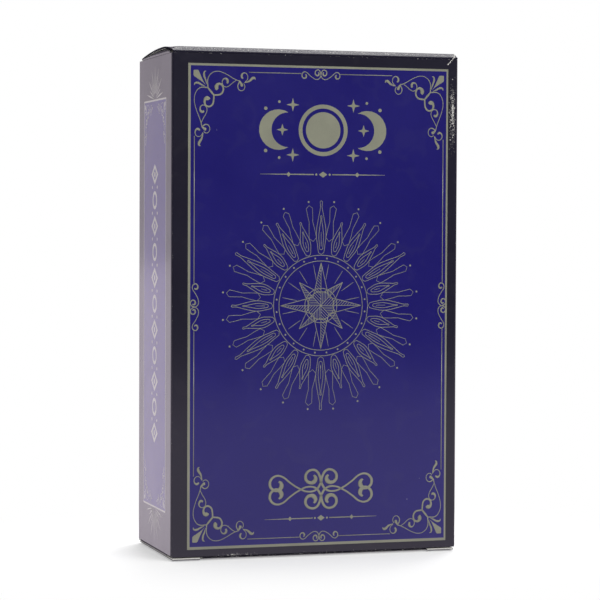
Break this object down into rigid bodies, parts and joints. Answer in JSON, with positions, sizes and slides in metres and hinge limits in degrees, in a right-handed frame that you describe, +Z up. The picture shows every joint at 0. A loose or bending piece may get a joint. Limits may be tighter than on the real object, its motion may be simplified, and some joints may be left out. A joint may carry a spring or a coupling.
{
  "type": "boxed tarot deck",
  "caption": "Upright tuck-end carton of thin printed board with a hinged lid, hinged base and folding dust flaps, holding a deck of tarot cards on edge.",
  "frame": {"origin": "middle of the underside, on the surface that the carton stands on", "axes": "+Z up along the carton's height, +X to the right across its front, -Y out of the printed front panel"},
  "size_m": [0.0746, 0.035, 0.1268],
  "materials": {
    "front_print": "gloss laminated print",
    "printed_board": "gloss laminated print",
    "bare_board": "uncoated",
    "card": "satin"
  },
  "bodies": {
    "carton": {"front_panel": "front_print", "back_panel": "printed_board", "left_panel": "printed_board", "right_panel": "printed_board", "glue_flap": "bare_board"},
    "lid": {"lid": "printed_board"},
    "lid_tuck": {"lid_tuck_flap": "printed_board"},
    "lid_dust_left": {"lid_dust_flap_left": "printed_board"},
    "lid_dust_right": {"lid_dust_flap_right": "printed_board"},
    "base": {"base": "printed_board"},
    "base_tuck": {"base_tuck_flap": "printed_board"},
    "base_dust_left": {"base_dust_flap_left": "printed_board"},
    "base_dust_right": {"base_dust_flap_right": "printed_board"},
    "deck": {"card_major_00": "card", "card_major_01": "card", "card_major_02": "card", "card_major_03": "card", "card_major_04": "card", "card_major_05": "card", "card_major_06": "card", "card_major_07": "card", "card_major_08": "card", "card_major_09": "card", "card_major_10": "card", "card_major_11": "card", "card_major_12": "card", "card_major_13": "card", "card_major_14": "card", "card_major_15": "card", "card_major_16": "card", "card_major_17": "card", "card_major_18": "card", "card_major_19": "card", "card_major_20": "card", "card_major_21": "card", "cards_wands_ace_to_ten": "card", "cards_cups_ace_to_ten": "card", "cards_swords_ace_to_ten": "card", "cards_pentacles_ace_to_ten": "card", "card_wands_page": "card", "card_wands_knight": "card", "card_wands_queen": "card", "card_wands_king": "card", "card_cups_page": "card", "card_cups_knight": "card", "card_cups_queen": "card", "card_cups_king": "card", "card_swords_page": "card", "card_swords_knight": "card", "card_swords_queen": "card", "card_swords_king": "card", "card_pentacles_page": "card", "card_pentacles_knight": "card", "card_pentacles_queen": "card", "card_pentacles_king": "card"}
  },
  "joints": [
    {"name": "lid_hinge", "type": "hinge", "parent": "carton", "child": "lid", "pos_m": [0, -0.01725, 0.12474], "axis": [1, 0, 0], "range_deg": [0, 160]},
    {"name": "lid_tuck_crease", "type": "hinge", "parent": "lid", "child": "lid_tuck", "pos_m": [0, 0.01656, 0.12474], "axis": [1, 0, 0], "range_deg": [0, 16]},
    {"name": "lid_dust_left_hinge", "type": "hinge", "parent": "carton", "child": "lid_dust_left", "pos_m": [-0.03703, 0, 0.12459], "axis": [0, -1, 0], "range_deg": [0, 120]},
    {"name": "lid_dust_right_hinge", "type": "hinge", "parent": "carton", "child": "lid_dust_right", "pos_m": [0.03703, 0, 0.12459], "axis": [0, 1, 0], "range_deg": [0, 120]},
    {"name": "deck_lift", "type": "slide", "parent": "carton", "child": "deck", "axis": [0, 0, 1], "range_m": [0, 0.0029]},
    {"name": "base_hinge", "type": "hinge", "parent": "carton", "child": "base", "pos_m": [0, 0.01725, 0.00022], "axis": [1, 0, 0], "range_deg": [0, 180]},
    {"name": "base_tuck_crease", "type": "hinge", "parent": "base", "child": "base_tuck", "pos_m": [0, -0.01656, 0.00022], "axis": [1, 0, 0], "range_deg": [0, 18]},
    {"name": "base_dust_left_hinge", "type": "hinge", "parent": "carton", "child": "base_dust_left", "pos_m": [-0.03703, 0, 0.0008], "axis": [0, 1, 0], "range_deg": [0, 135]},
    {"name": "base_dust_right_hinge", "type": "hinge", "parent": "carton", "child": "base_dust_right", "pos_m": [0.03703, 0, 0.0008], "axis": [0, -1, 0], "range_deg": [0, 135]}
  ],
  "couplings": [
    {"joint": "lid_tuck_crease", "follows": "lid_hinge", "ratio": 0.1},
    {"joint": "lid_dust_left_hinge", "follows": "lid_hinge", "ratio": 0.75},
    {"joint": "lid_dust_right_hinge", "follows": "lid_hinge", "ratio": 0.75},
    {"joint": "base_tuck_crease", "follows": "base_hinge", "ratio": 0.1},
    {"joint": "base_dust_left_hinge", "follows": "base_hinge", "ratio": 0.75},
    {"joint": "base_dust_right_hinge", "follows": "base_hinge", "ratio": 0.75}
  ]
}
